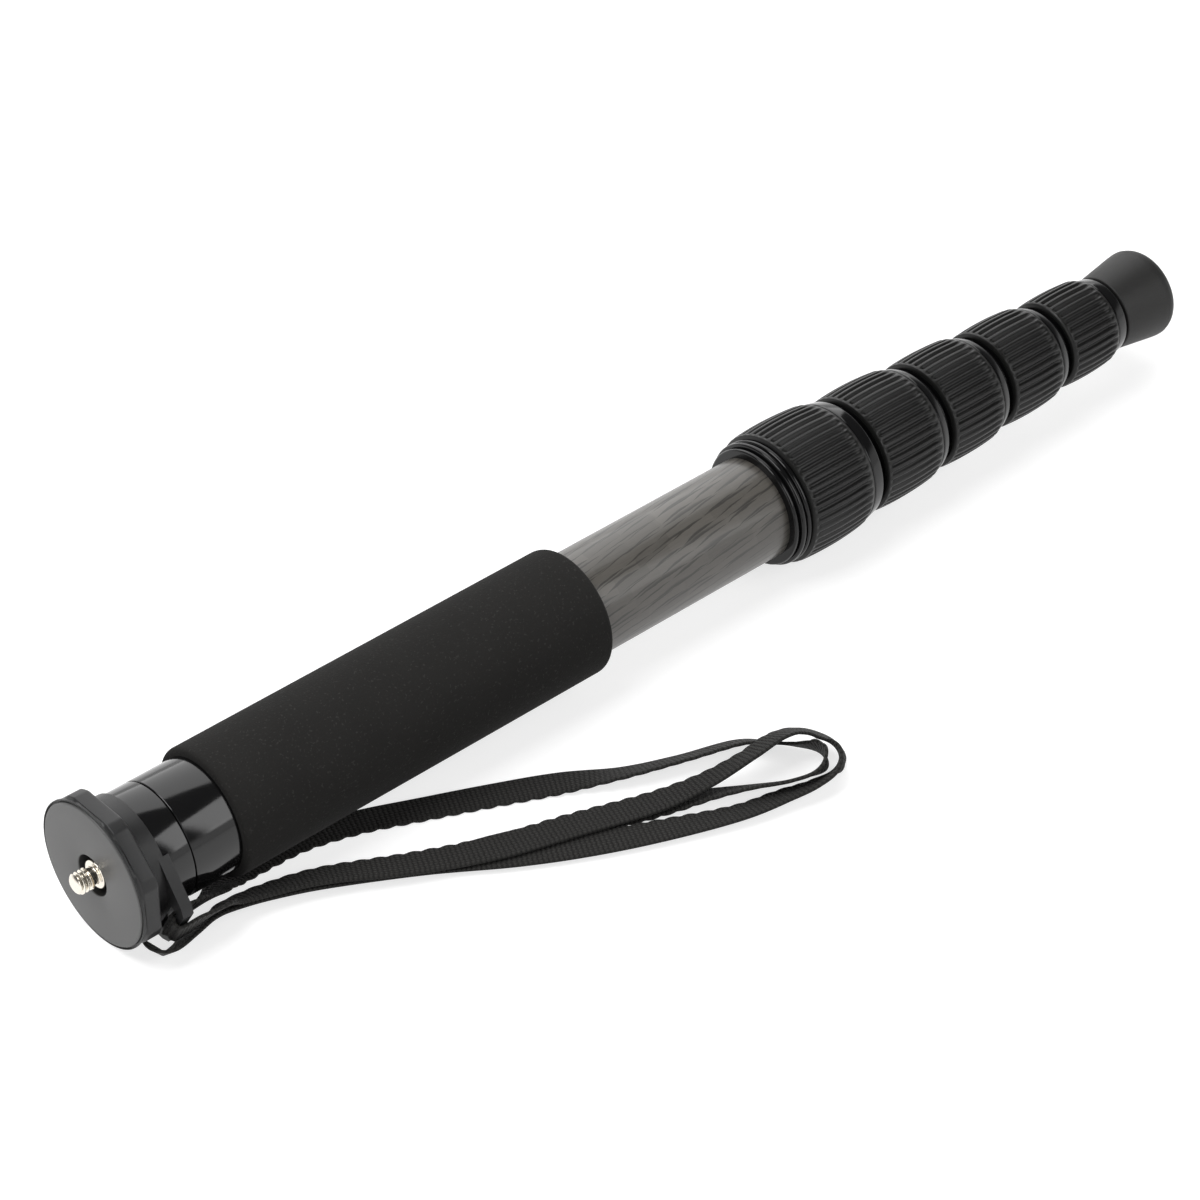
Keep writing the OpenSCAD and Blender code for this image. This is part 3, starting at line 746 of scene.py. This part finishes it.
class MONOPOD_OT_stage(bpy.types.Operator):
    """Makes the floor, the lamps, the backdrop and the camera"""

    bl_idname = "monopod.stage"
    bl_label = "Stage and camera"

    # The camera's direction and place, and its focal length for a picture of this width
    azimuth = math.radians(-41.9)
    elevation = math.radians(38.5)
    camera_place = (-0.6259, -0.6719, 0.73766)
    focal_pixels = 4010
    picture_pixels = 1200
    view_end = 20
    floor_half = 6.0
    floor_glow = 0.7
    # Name, place, aim, width, depth, power
    lamps = (
        ("key_softbox", (-0.55, 0.20, 1.15), (0.0, 0.0, 0.0), 0.8, 0.8, 13.0),
        ("rear_softbox", (0.45, 0.65, 0.75), (0.0, 0.0, 0.02), 1.1, 1.3, 9.0),
        ("side_softbox", (0.45, -0.80, 0.60), (0.0, 0.0, 0.02), 0.55, 0.75, 4.0),
        ("front_softbox", (-1.0, -0.55, 0.55), (-0.1, 0.0, 0.02), 0.7, 0.6, 3.0),
    )

    def execute(self, context):
        self.floor()
        self.backdrop(context)
        for lamp in self.lamps:
            self.softbox(context, *lamp)
        self.camera(context)
        return {"FINISHED"}

    def floor(self):
        """A pale floor with a glow that is seen, also in reflections, and lights nothing."""
        half = self.floor_half
        corners = ((-half, -half), (half, -half), (half, half), (-half, half))
        bm = bmesh.new()
        bm.faces.new([bm.verts.new((x, y, 0)) for x, y in corners])
        finish = Finish("floor_white", Roughness=0.9, Specular_IOR_Level=0.0, Emission_Color=WHITE)
        nodes = finish.nodes
        path = nodes.add("ShaderNodeLightPath").outputs
        seen = nodes.math("MAXIMUM", path["Is Camera Ray"], path["Is Glossy Ray"])
        seen = nodes.math("MAXIMUM", seen, path["Is Transmission Ray"])
        finish.set("Base Color", rgba(colours().floor_white))
        finish.set("Emission Strength", nodes.times(seen, self.floor_glow))
        finish_mesh(bm, "floor", finish.material)

    def backdrop(self, context):
        world = bpy.data.worlds.new("white_backdrop")
        world.use_nodes = True
        nodes = Nodes(world.node_tree)
        light = world.node_tree.nodes["Background"]
        light.inputs["Color"].default_value = WHITE
        # White round the horizon and dark overhead, as in a studio with a pale backdrop
        _, _, height = nodes.apart(nodes.add("ShaderNodeTexCoord").outputs["Generated"])
        nodes.put(nodes.smooth(height, 0.14, 0.32, 1.0, 0.1), light.inputs["Strength"])
        context.scene.world = world
        context.scene.view_settings.view_transform = "Standard"

    def softbox(self, context, name, location, target, width, depth, power):
        lamp = bpy.data.lights.new(name, "AREA")
        lamp.shape = "RECTANGLE"
        lamp.size = width
        lamp.size_y = depth
        lamp.energy = power
        piece = bpy.data.objects.new(name, lamp)
        piece.location = location
        piece.rotation_euler = (Vector(target) - Vector(location)).to_track_quat("-Z", "Y").to_euler()
        context.scene.collection.objects.link(piece)

    def camera(self, context):
        lens = bpy.data.cameras.new("photo_camera")
        lens.sensor_width = 36
        lens.lens = lens.sensor_width * self.focal_pixels / self.picture_pixels
        lens.clip_end = self.view_end
        piece = bpy.data.objects.new("photo_camera", lens)
        piece.location = self.camera_place
        piece.rotation_euler = (math.pi / 2 - self.elevation, 0, self.azimuth)
        context.scene.collection.objects.link(piece)
        context.scene.camera = piece


class MONOPOD_OT_wrist_strap(bpy.types.Operator):
    """Lays the two runs of the wrist strap and sews its base"""

    bl_idname = "monopod.wrist_strap"
    bl_label = "Wrist strap"

    # The seams' start and end along the inner run, and their places across it
    seam_start = 0.012
    seam_end = 0.062
    seam_offsets = (0.0022, 0.0036)
    stitch_length = 0.0016
    thread_radius = 0.00018

    def execute(self, context):
        inner = band_frames(INNER_RUN)
        outer = band_frames(OUTER_RUN)
        # The outer run is two bands that meet at its far turn
        turn = max(range(len(outer)), key=lambda i: outer[i][0].x)
        self.band("strap_inner_band", inner, "wrist_strap_inner", -1, tapered=True)
        self.band("strap_outer_band", outer[:turn + 1], "wrist_strap_outer", 1)
        self.band("strap_return_band", outer[turn:], "wrist_strap_outer", 1, from_last=True)
        self.stitches(context, inner)
        return {"FINISHED"}

    def band(self, name, frames, node, scalloped_side, tapered=False, from_last=False):
        """One band of webbing, which rides on the first section and stands for its CAD node. from_last is
        not used.
        """
        piece = webbing_band(name, frames, scalloped_side, tapered)
        place(piece, "section_1", "webbing_black", node)

    def stitches(self, context, inner):
        """Two seams along the upper edge of the inner run's base."""
        base = [spot for spot in inner if self.seam_start < spot[3] < self.seam_end]
        lift = sizes().strap_thickness / 2
        curve = bpy.data.curves.new("seam_lines", "CURVE")
        curve.dimensions = "3D"
        for offset in self.seam_offsets:
            spline = curve.splines.new("POLY")
            spline.points.add(len(base) - 1)
            for point, (centre, width, up, _) in zip(spline.points, base):
                point.co = (*(centre + width * offset + up * lift), 1)
        guide = bpy.data.objects.new("seam_lines", curve)
        context.scene.collection.objects.link(guide)
        mesh = run_tree(guide, stitch_tree(), Pitch=sizes().stitch_pitch, Stitch_Length=self.stitch_length,
                        Thread_Radius=self.thread_radius, Material=grain_finish("stitch_thread"))
        bpy.data.objects.remove(guide)
        piece = bpy.data.objects.new("strap_stitches", mesh)
        context.scene.collection.objects.link(piece)
        place(piece, "section_1", "webbing_black")


class MONOPOD_OT_camera_plate(bpy.types.Operator):
    """Turns the camera plate and cuts the finger flats into its rim"""

    bl_idname = "monopod.camera_plate"
    bl_label = "Camera plate"

    flat_count = 8
    facets_per_flat = 48
    flat_distance = 21.75 * MM
    flat_start = 1.5 * MM
    flat_slope = 0.5 * MM
    rim_radius = 22.9 * MM
    rim_start = 0.3 * MM
    rim_end = 6.4 * MM
    rim_front_round = 0.2 * MM
    rim_back_round = 0.9 * MM
    rim_back = 1 * MM
    lip_radius = 22.2 * MM
    lip_round = 0.18 * MM
    face_radius = 21.4 * MM
    face_round = 0.5 * MM
    groove_width = 0.5 * MM
    groove_depth = 0.9 * MM
    groove_round = 0.1 * MM
    boss_radius = 18.1 * MM
    well_radius = 6.2 * MM
    well_round = 0.3 * MM
    # How far in from the well's edge the painted shade begins
    well_shade_inset = 0.1 * MM
    well_floor_radius = 5.6 * MM
    well_depth = 4.4 * MM
    back_bore = 9 * MM
    back_depth = 2.5 * MM

    def execute(self, context):
        start, end, _ = span("camera_plate")
        rim = self.rim_radius
        rim_start = start + self.rim_start
        rim_end = start + self.rim_end
        groove_floor = start + self.groove_depth
        groove_edge = self.face_radius + self.groove_width
        well_floor = start + self.well_depth
        flat_x = start + self.flat_start
        corners = [
            (well_floor, self.well_floor_radius), (start, self.well_radius, self.well_round),
            (start, self.face_radius, self.face_round), (groove_floor, self.face_radius),
            (groove_floor, groove_edge), (rim_start, groove_edge, self.groove_round),
            (rim_start, self.lip_radius, self.lip_round), (flat_x - self.flat_slope, self.lip_radius),
            (flat_x, rim, self.rim_front_round), (rim_end, rim, self.rim_back_round),
            (rim_end, self.boss_radius), (end, self.boss_radius), (end, self.back_bore),
            (end - self.back_depth, self.back_bore), (end - self.back_depth, SHANK_RADIUS),
            (well_floor, SHANK_RADIUS),
        ]

        def radius_at(x, radius, angle):
            on_lip = radius < self.lip_radius + MERGE_DISTANCE and x < rim_end - self.rim_back
            if on_lip or radius < self.face_radius:
                return radius
            return min(radius, self.flat_radius(angle) + radius - rim)

        piece = turned("plate", corners, grain_finish("satin_rim"), self.flat_count * self.facets_per_flat,
                       radius_at)
        piece.data.materials.append(grain_finish("satin_disc"))
        piece.data.materials.append(grain_finish("well_black"))
        # The rim's finish is number 0, the disc's 1 and the well's painted shade 2
        for face in piece.data.polygons:
            middle = face.center
            from_axis = math.hypot(middle.y, middle.z - AXIS_Z)
            # Painted shade: faces inside the well, a little in from its edge, take the near-black well
            # colour
            if from_axis < self.well_radius - self.well_shade_inset:
                face.material_index = 2
            elif middle.x < groove_floor - MERGE_DISTANCE and from_axis < groove_edge:
                face.material_index = 1
        place(piece, "section_1", "satin_grey", "camera_plate")
        return {"FINISHED"}

    def flat_radius(self, angle):
        """Distance of the nearest flat from the axis, along an angle. One flat is straight down."""
        step = TURN / self.flat_count
        off = (angle - math.pi + step / 2) % step - step / 2
        return self.flat_distance / math.cos(off)


class MONOPOD_OT_camera_screw(bpy.types.Operator):
    """Cuts the thread of the camera screw"""

    bl_idname = "monopod.camera_screw"
    bl_label = "Camera screw"

    screw_radius = 3.175 * MM
    waist_radius = 2.5 * MM
    waist_step = 0.1 * MM
    thread_end = -1.6 * MM
    flange_start = 0.6 * MM
    flange_thickness = 3.8 * MM
    flange_radius = 4.3 * MM
    tip_dome = 1.0 * MM
    tip_radius = screw_radius - 1.5 * MM
    edge_round = 0.4 * MM
    rim_round = 0.5 * MM
    run_out = 0.5 * MM
    rows = 90
    facets = 72
    # A thread flank's steepness, and the share of a turn that stays at the root
    flank_slope = 1.5
    root_share = 0.25

    def execute(self, context):
        start, end, _ = span("camera_screw")
        flange_x = PLATE_FACE_X + self.flange_start
        flange_end = flange_x + self.flange_thickness
        thread_end = PLATE_FACE_X + self.thread_end
        pitch = sizes().thread_pitch
        depth = sizes().thread_depth
        outline = [Vector((start, 0.0)), Vector((start, self.tip_radius))]
        for row in range(1, self.rows + 1):
            outline.append(Vector((start + (thread_end - start) * row / self.rows, self.screw_radius)))
        outline += fillet([
            (thread_end + self.waist_step, self.waist_radius),
            (flange_x, self.waist_radius, self.edge_round),
            (flange_x, self.flange_radius, self.rim_round), (flange_end, self.flange_radius),
            (flange_end, SHANK_RADIUS), (end, SHANK_RADIUS, self.edge_round), (end, 0.0),
        ])

        def radius_at(x, reach, angle):
            if x > thread_end or reach < self.screw_radius - MERGE_DISTANCE:
                return reach
            turn = ((x - start) / pitch - angle / TURN) % 1.0
            flank = self.flank_slope * (1 - abs(2 * turn - 1)) - self.root_share
            flank = min(1.0, max(0.0, flank)) * min(1.0, (thread_end - x) / self.run_out)
            past = min(self.tip_dome, x - start)
            tip_rise = self.screw_radius - self.tip_radius
            tip = self.tip_radius + tip_rise * math.sqrt(past / self.tip_dome)
            return min(tip, self.screw_radius - depth * (1 - flank))

        bm = turned_bmesh(outline, self.facets, radius_at)
        place(finish_mesh(bm, "screw", grain_finish("nickel_plate")), "section_1", "nickel", "camera_screw")
        return {"FINISHED"}


class MONOPOD_OT_strap_ring(bpy.types.Operator):
    """Gives the strap ring and its slotted tab clean faces and their finish"""

    bl_idname = "monopod.strap_ring"
    bl_label = "Strap ring"

    def execute(self, context):
        bm = bmesh.new()
        bm.from_mesh(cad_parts["strap_ring"].data)
        bmesh.ops.remove_doubles(bm, verts=bm.verts, dist=MERGE_DISTANCE)
        bmesh.ops.dissolve_limit(bm, angle_limit=FLAT_ANGLE, verts=bm.verts, edges=bm.edges)
        piece = finish_mesh(bm, "tab_ring", grain_finish("satin_rim"))
        place(piece, "section_1", "satin_grey", "strap_ring")
        return {"FINISHED"}


class MONOPOD_OT_neck(bpy.types.Operator):
    """Turns the neck hub and the tube collar"""

    bl_idname = "monopod.neck"
    bl_label = "Neck"

    edge_round = 0.3 * MM
    spigot_radius = 9 * MM
    spigot_end = 3.4 * MM
    groove_width = 0.3 * MM
    cavity_radius = 11 * MM
    cavity_depth = 9 * MM

    def execute(self, context):
        start, end, _ = span("neck_hub")
        ring_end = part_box("strap_ring")[0].x + self.spigot_end
        collar_start, collar_end, neck = span("tube_collar")
        groove = collar_start - self.groove_width
        cavity = end - self.cavity_depth
        tube = span("tube_1")[2]
        bore = tube - sizes().top_wall
        soft = self.edge_round
        hub = [
            (start, SHANK_RADIUS), (start, self.spigot_radius), (ring_end, self.spigot_radius),
            (ring_end, neck, soft), (groove, neck, soft), (groove, bore), (end, bore),
            (end, self.cavity_radius), (cavity, self.cavity_radius), (cavity, SHANK_RADIUS),
        ]
        collar = [
            (collar_start, tube), (collar_start, neck, soft), (collar_end, neck, soft), (collar_end, tube),
        ]
        for name, corners, node in (("hub", hub, "neck_hub"), ("collar", collar, "tube_collar")):
            place(turned(name, corners, neck_metal()), "section_1", "gloss_black", node)
        return {"FINISHED"}


class MONOPOD_OT_foam_grip(bpy.types.Operator):
    """Turns the foam grip with its soft ends"""

    bl_idname = "monopod.foam_grip"
    bl_label = "Foam grip"

    length = 131.6 * MM
    neck_round = 1.6 * MM
    tube_round = 2.4 * MM
    # Plain rings between the rounded ends
    rings = 40
    rings_start = 4 * MM
    rings_length = length - 10 * MM

    def execute(self, context):
        start, _, radius = span("foam_grip")
        end = start + self.length
        tube = span("tube_1")[2]
        corners = [(start, tube), (start, radius, self.neck_round)]
        for i in range(1, self.rings):
            corners.append((start + self.rings_start + self.rings_length * i / self.rings, radius))
        corners += [(end, radius, self.tube_round), (end, tube)]
        piece = turned("grip", corners, foam_finish(), round_steps=10)
        place(piece, "section_1", "foam_black", "foam_grip")
        return {"FINISHED"}


class MONOPOD_OT_tubes(bpy.types.Operator):
    """Turns the nested carbon tubes"""

    bl_idname = "monopod.tubes"
    bl_label = "Carbon tubes"

    end_round = 0.2 * MM

    def execute(self, context):
        for k in SECTIONS:
            start, end, radius = span(f"tube_{k}")
            bore = radius - (sizes().top_wall if k == 1 else sizes().tube_wall)
            soft = self.end_round
            corners = [(start, bore), (start, radius, soft), (end, radius, soft), (end, bore)]
            piece = turned(f"carbon_{k}", corners, carbon_finish(radius))
            place(piece, f"section_{k}", "carbon", f"tube_{k}")
        return {"FINISHED"}


class MONOPOD_OT_twist_locks(bpy.types.Operator):
    """Turns the ferrule and nut of each lock and ribs its rubber sleeve"""

    bl_idname = "monopod.twist_locks"
    bl_label = "Twist locks"

    # Walls from the tube's surface outwards, and room between pieces that turn on each other
    thread_wall = 1.6 * MM
    nose_wall = 2.8 * MM
    seat_wall = 3.4 * MM
    nut_gap = 0.3 * MM
    thread_gap = 0.1 * MM
    # The ferrule's collar, and the two rings of the first nut
    first_collar = 1.7 * MM
    collar_roundness = 0.42
    ring_groove = 0.4 * MM
    ring_round = 0.8 * MM
    # The nut's nose ring and the lip inside it
    nose_ring = 0.5 * MM
    nose_ring_round = 0.25 * MM
    nose_softness = 2.2
    lip_length = 1.2 * MM
    cone_start = 0.9 * MM
    cone_end = 4 * MM
    # The sleeve's long arc, its rounded ends and its facets
    barrel_radius = 110 * MM
    barrel_middle = 0.42
    upper_round = 1.1 * MM
    lower_round = 2.4 * MM
    lower_roundness = 0.6
    rib_end = 0.4 * MM
    rib_skin = 0.3 * MM
    least_wall = 0.1 * MM
    sleeve_rows = 44
    facets_per_rib = 12

    def execute(self, context):
        ribs = rib_tree()
        for k in LOCKS:
            self.ferrule(k)
            self.nut(k)
            self.sleeve(k, ribs)
        return {"FINISHED"}

    def ferrule(self, k):
        start, end, collar = span(f"lock_ferrule_{k}")
        tube = span(f"tube_{k}")[2]
        collar_end = span(f"lock_nut_{k}")[0] - self.nut_gap
        thread = tube + self.thread_wall
        if k == 1:
            start = collar_end - self.first_collar
        rounding = self.collar_roundness * (collar_end - start)
        corners = [
            (start, tube), (start, collar, rounding), (collar_end, collar, rounding), (collar_end, thread),
            (end, thread, sizes().edge_round), (end, tube),
        ]
        piece = turned(f"ferrule_{k}", corners, lock_metal())
        place(piece, f"section_{k}", "gloss_black", f"lock_ferrule_{k}")

    def nut(self, k):
        start, end, ring = span(f"lock_nut_{k}")
        sleeve_start, sleeve_end, _ = span(f"lock_sleeve_{k}")
        tube = span(f"tube_{k}")[2]
        lip = span(f"tube_{k + 1}")[2] + self.nut_gap
        lip_start = end - self.lip_length
        thread = tube + self.thread_wall + self.thread_gap
        seat = tube + self.seat_wall
        soft = self.ring_round
        corners = [(start, thread)]
        if k == 1:
            # The first nut has two rounded rings above its sleeve, with a groove between them
            middle = (start + sleeve_start) / 2
            groove_start = middle - self.ring_groove / 2
            groove_end = middle + self.ring_groove / 2
            corners += [
                (start, ring, soft), (groove_start, ring, soft), (groove_start, ring - soft),
                (groove_end, ring - soft), (groove_end, ring, soft), (sleeve_start, ring, soft),
                (sleeve_start, seat),
            ]
        else:
            corners.append((start, seat))
        corners += [
            (sleeve_end, seat), (sleeve_end, ring),
            (sleeve_end + self.nose_ring, ring, self.nose_ring_round),
            (end, tube + self.nose_wall, self.nose_softness * sizes().edge_round), (end, lip),
            (lip_start, lip), (lip_start, lip + self.cone_start), (end - self.cone_end, thread),
        ]
        piece = turned(f"nut_metal_{k}", corners, lock_metal())
        place(piece, f"nut_{k}", "gloss_black", f"lock_nut_{k}")

    def barrel(self, start, end, radius, x):
        """Radius of the barrel's long arc at a place along the sleeve."""
        middle = start + self.barrel_middle * (end - start)
        return radius - self.barrel_radius + math.sqrt(self.barrel_radius ** 2 - (x - middle) ** 2)

    def sleeve(self, k, ribs):
        start, end, radius = span(f"lock_sleeve_{k}")
        inner = span(f"tube_{k}")[2] + self.seat_wall
        count = round(TURN * radius / sizes().rib_pitch)
        upper_end = start + self.upper_round
        lower_start = end - self.lower_round
        outline = [Vector((start, inner))]
        for row in range(self.sleeve_rows + 1):
            x = start + (end - start) * row / self.sleeve_rows
            drop = 0.0
            if x < upper_end:
                drop = arc_drop(self.upper_round, upper_end - x)
            if x > lower_start:
                drop = self.lower_roundness * arc_drop(self.lower_round, x - lower_start)
            reach = self.barrel(start, end, radius, x) - drop
            outline.append(Vector((x, max(inner + self.least_wall, reach))))
        outline.append(Vector((end, inner)))
        rubber = grain_finish("sleeve_rubber")
        piece = finish_mesh(turned_bmesh(outline, count * self.facets_per_rib), f"sleeve_{k}", rubber)
        piece.data = run_tree(
            piece, ribs, Rib_Count=count, Depth=sizes().rib_depth, Skin_Radius=inner + self.rib_skin,
            First_X=start + sizes().rib_border, Last_X=end - self.rib_end, Material=rubber)
        place(piece, f"nut_{k}", "rubber_grey", f"lock_sleeve_{k}")


class MONOPOD_OT_foot(bpy.types.Operator):
    """Turns the flared rubber foot"""

    bl_idname = "monopod.foot"
    bl_label = "Rubber foot"

    top_radius = 12.2 * MM
    top_round = 0.5 * MM
    flare_end = 4.7 * MM
    flare_round = 1.5 * MM
    end_round = 4.2 * MM
    stud_radius = 4 * MM
    stud_start = 11.5 * MM
    stud_end = 4.5 * MM

    def execute(self, context):
        start, end, radius = span("rubber_foot")
        tube = span("tube_6")[2]
        stud = self.stud_radius
        stud_start = end - self.stud_start
        stud_end = end - self.stud_end
        corners = [
            (start, tube), (start, self.top_radius, self.top_round),
            (end - self.flare_end, radius, self.flare_round), (end, radius, self.end_round), (end, 0.0),
            (stud_end, 0.0), (stud_end, stud), (stud_start, stud), (stud_start, tube),
        ]
        piece = turned("foot", corners, grain_finish("foot_rubber"), round_steps=8)
        place(piece, "section_6", "foot_grey", "rubber_foot")
        return {"FINISHED"}


class MONOPOD_OT_inner_pieces(bpy.types.Operator):
    """Gives the pieces inside the tubes and locks their finishes"""

    bl_idname = "monopod.inner_pieces"
    bl_label = "Inner pieces"

    def execute(self, context):
        finishes = {f"lock_collet_{k}": grain_finish("nylon_white") for k in LOCKS}
        finishes.update({f"guide_shims_{k + 1}": grain_finish("nylon_white") for k in LOCKS})
        finishes["foot_plug"] = neck_metal()
        for node, material in finishes.items():
            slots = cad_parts[node].data.materials
            slots.clear()
            slots.append(material)
        return {"FINISHED"}


PIECE_OPERATORS = (
    MONOPOD_OT_stage, MONOPOD_OT_wrist_strap, MONOPOD_OT_camera_plate, MONOPOD_OT_camera_screw,
    MONOPOD_OT_strap_ring, MONOPOD_OT_neck, MONOPOD_OT_foam_grip, MONOPOD_OT_tubes, MONOPOD_OT_twist_locks,
    MONOPOD_OT_foot, MONOPOD_OT_inner_pieces,
)


class MONOPOD_PT_panel(bpy.types.Panel):
    """Lists the monopod's pieces, sizes and colours"""

    bl_idname = "MONOPOD_PT_panel"
    bl_label = "Camera monopod"
    bl_space_type = "VIEW_3D"
    bl_region_type = "UI"
    bl_category = "Monopod"

    def draw(self, context):
        for operator in PIECE_OPERATORS:
            self.layout.operator(operator.bl_idname)
        for group in (context.scene.monopod_sizes, context.scene.monopod_colours):
            for name in group.__annotations__:
                self.layout.prop(group, name)


CLASSES = (MonopodSizes, MonopodColours, *PIECE_OPERATORS, MONOPOD_PT_panel)


def register():
    for item in CLASSES:
        bpy.utils.register_class(item)
    bpy.types.Scene.monopod_sizes = bpy.props.PointerProperty(type=MonopodSizes)
    bpy.types.Scene.monopod_colours = bpy.props.PointerProperty(type=MonopodColours)


def unregister():
    del bpy.types.Scene.monopod_colours
    del bpy.types.Scene.monopod_sizes
    for item in reversed(CLASSES):
        bpy.utils.unregister_class(item)


def main():
    register()
    bpy.ops.monopod.stage()
    bpy.ops.monopod.wrist_strap()
    bpy.ops.monopod.camera_plate()
    bpy.ops.monopod.camera_screw()
    bpy.ops.monopod.strap_ring()
    bpy.ops.monopod.neck()
    bpy.ops.monopod.foam_grip()
    bpy.ops.monopod.tubes()
    bpy.ops.monopod.twist_locks()
    bpy.ops.monopod.foot()
    bpy.ops.monopod.inner_pieces()


if __name__ == "__main__":
    main()
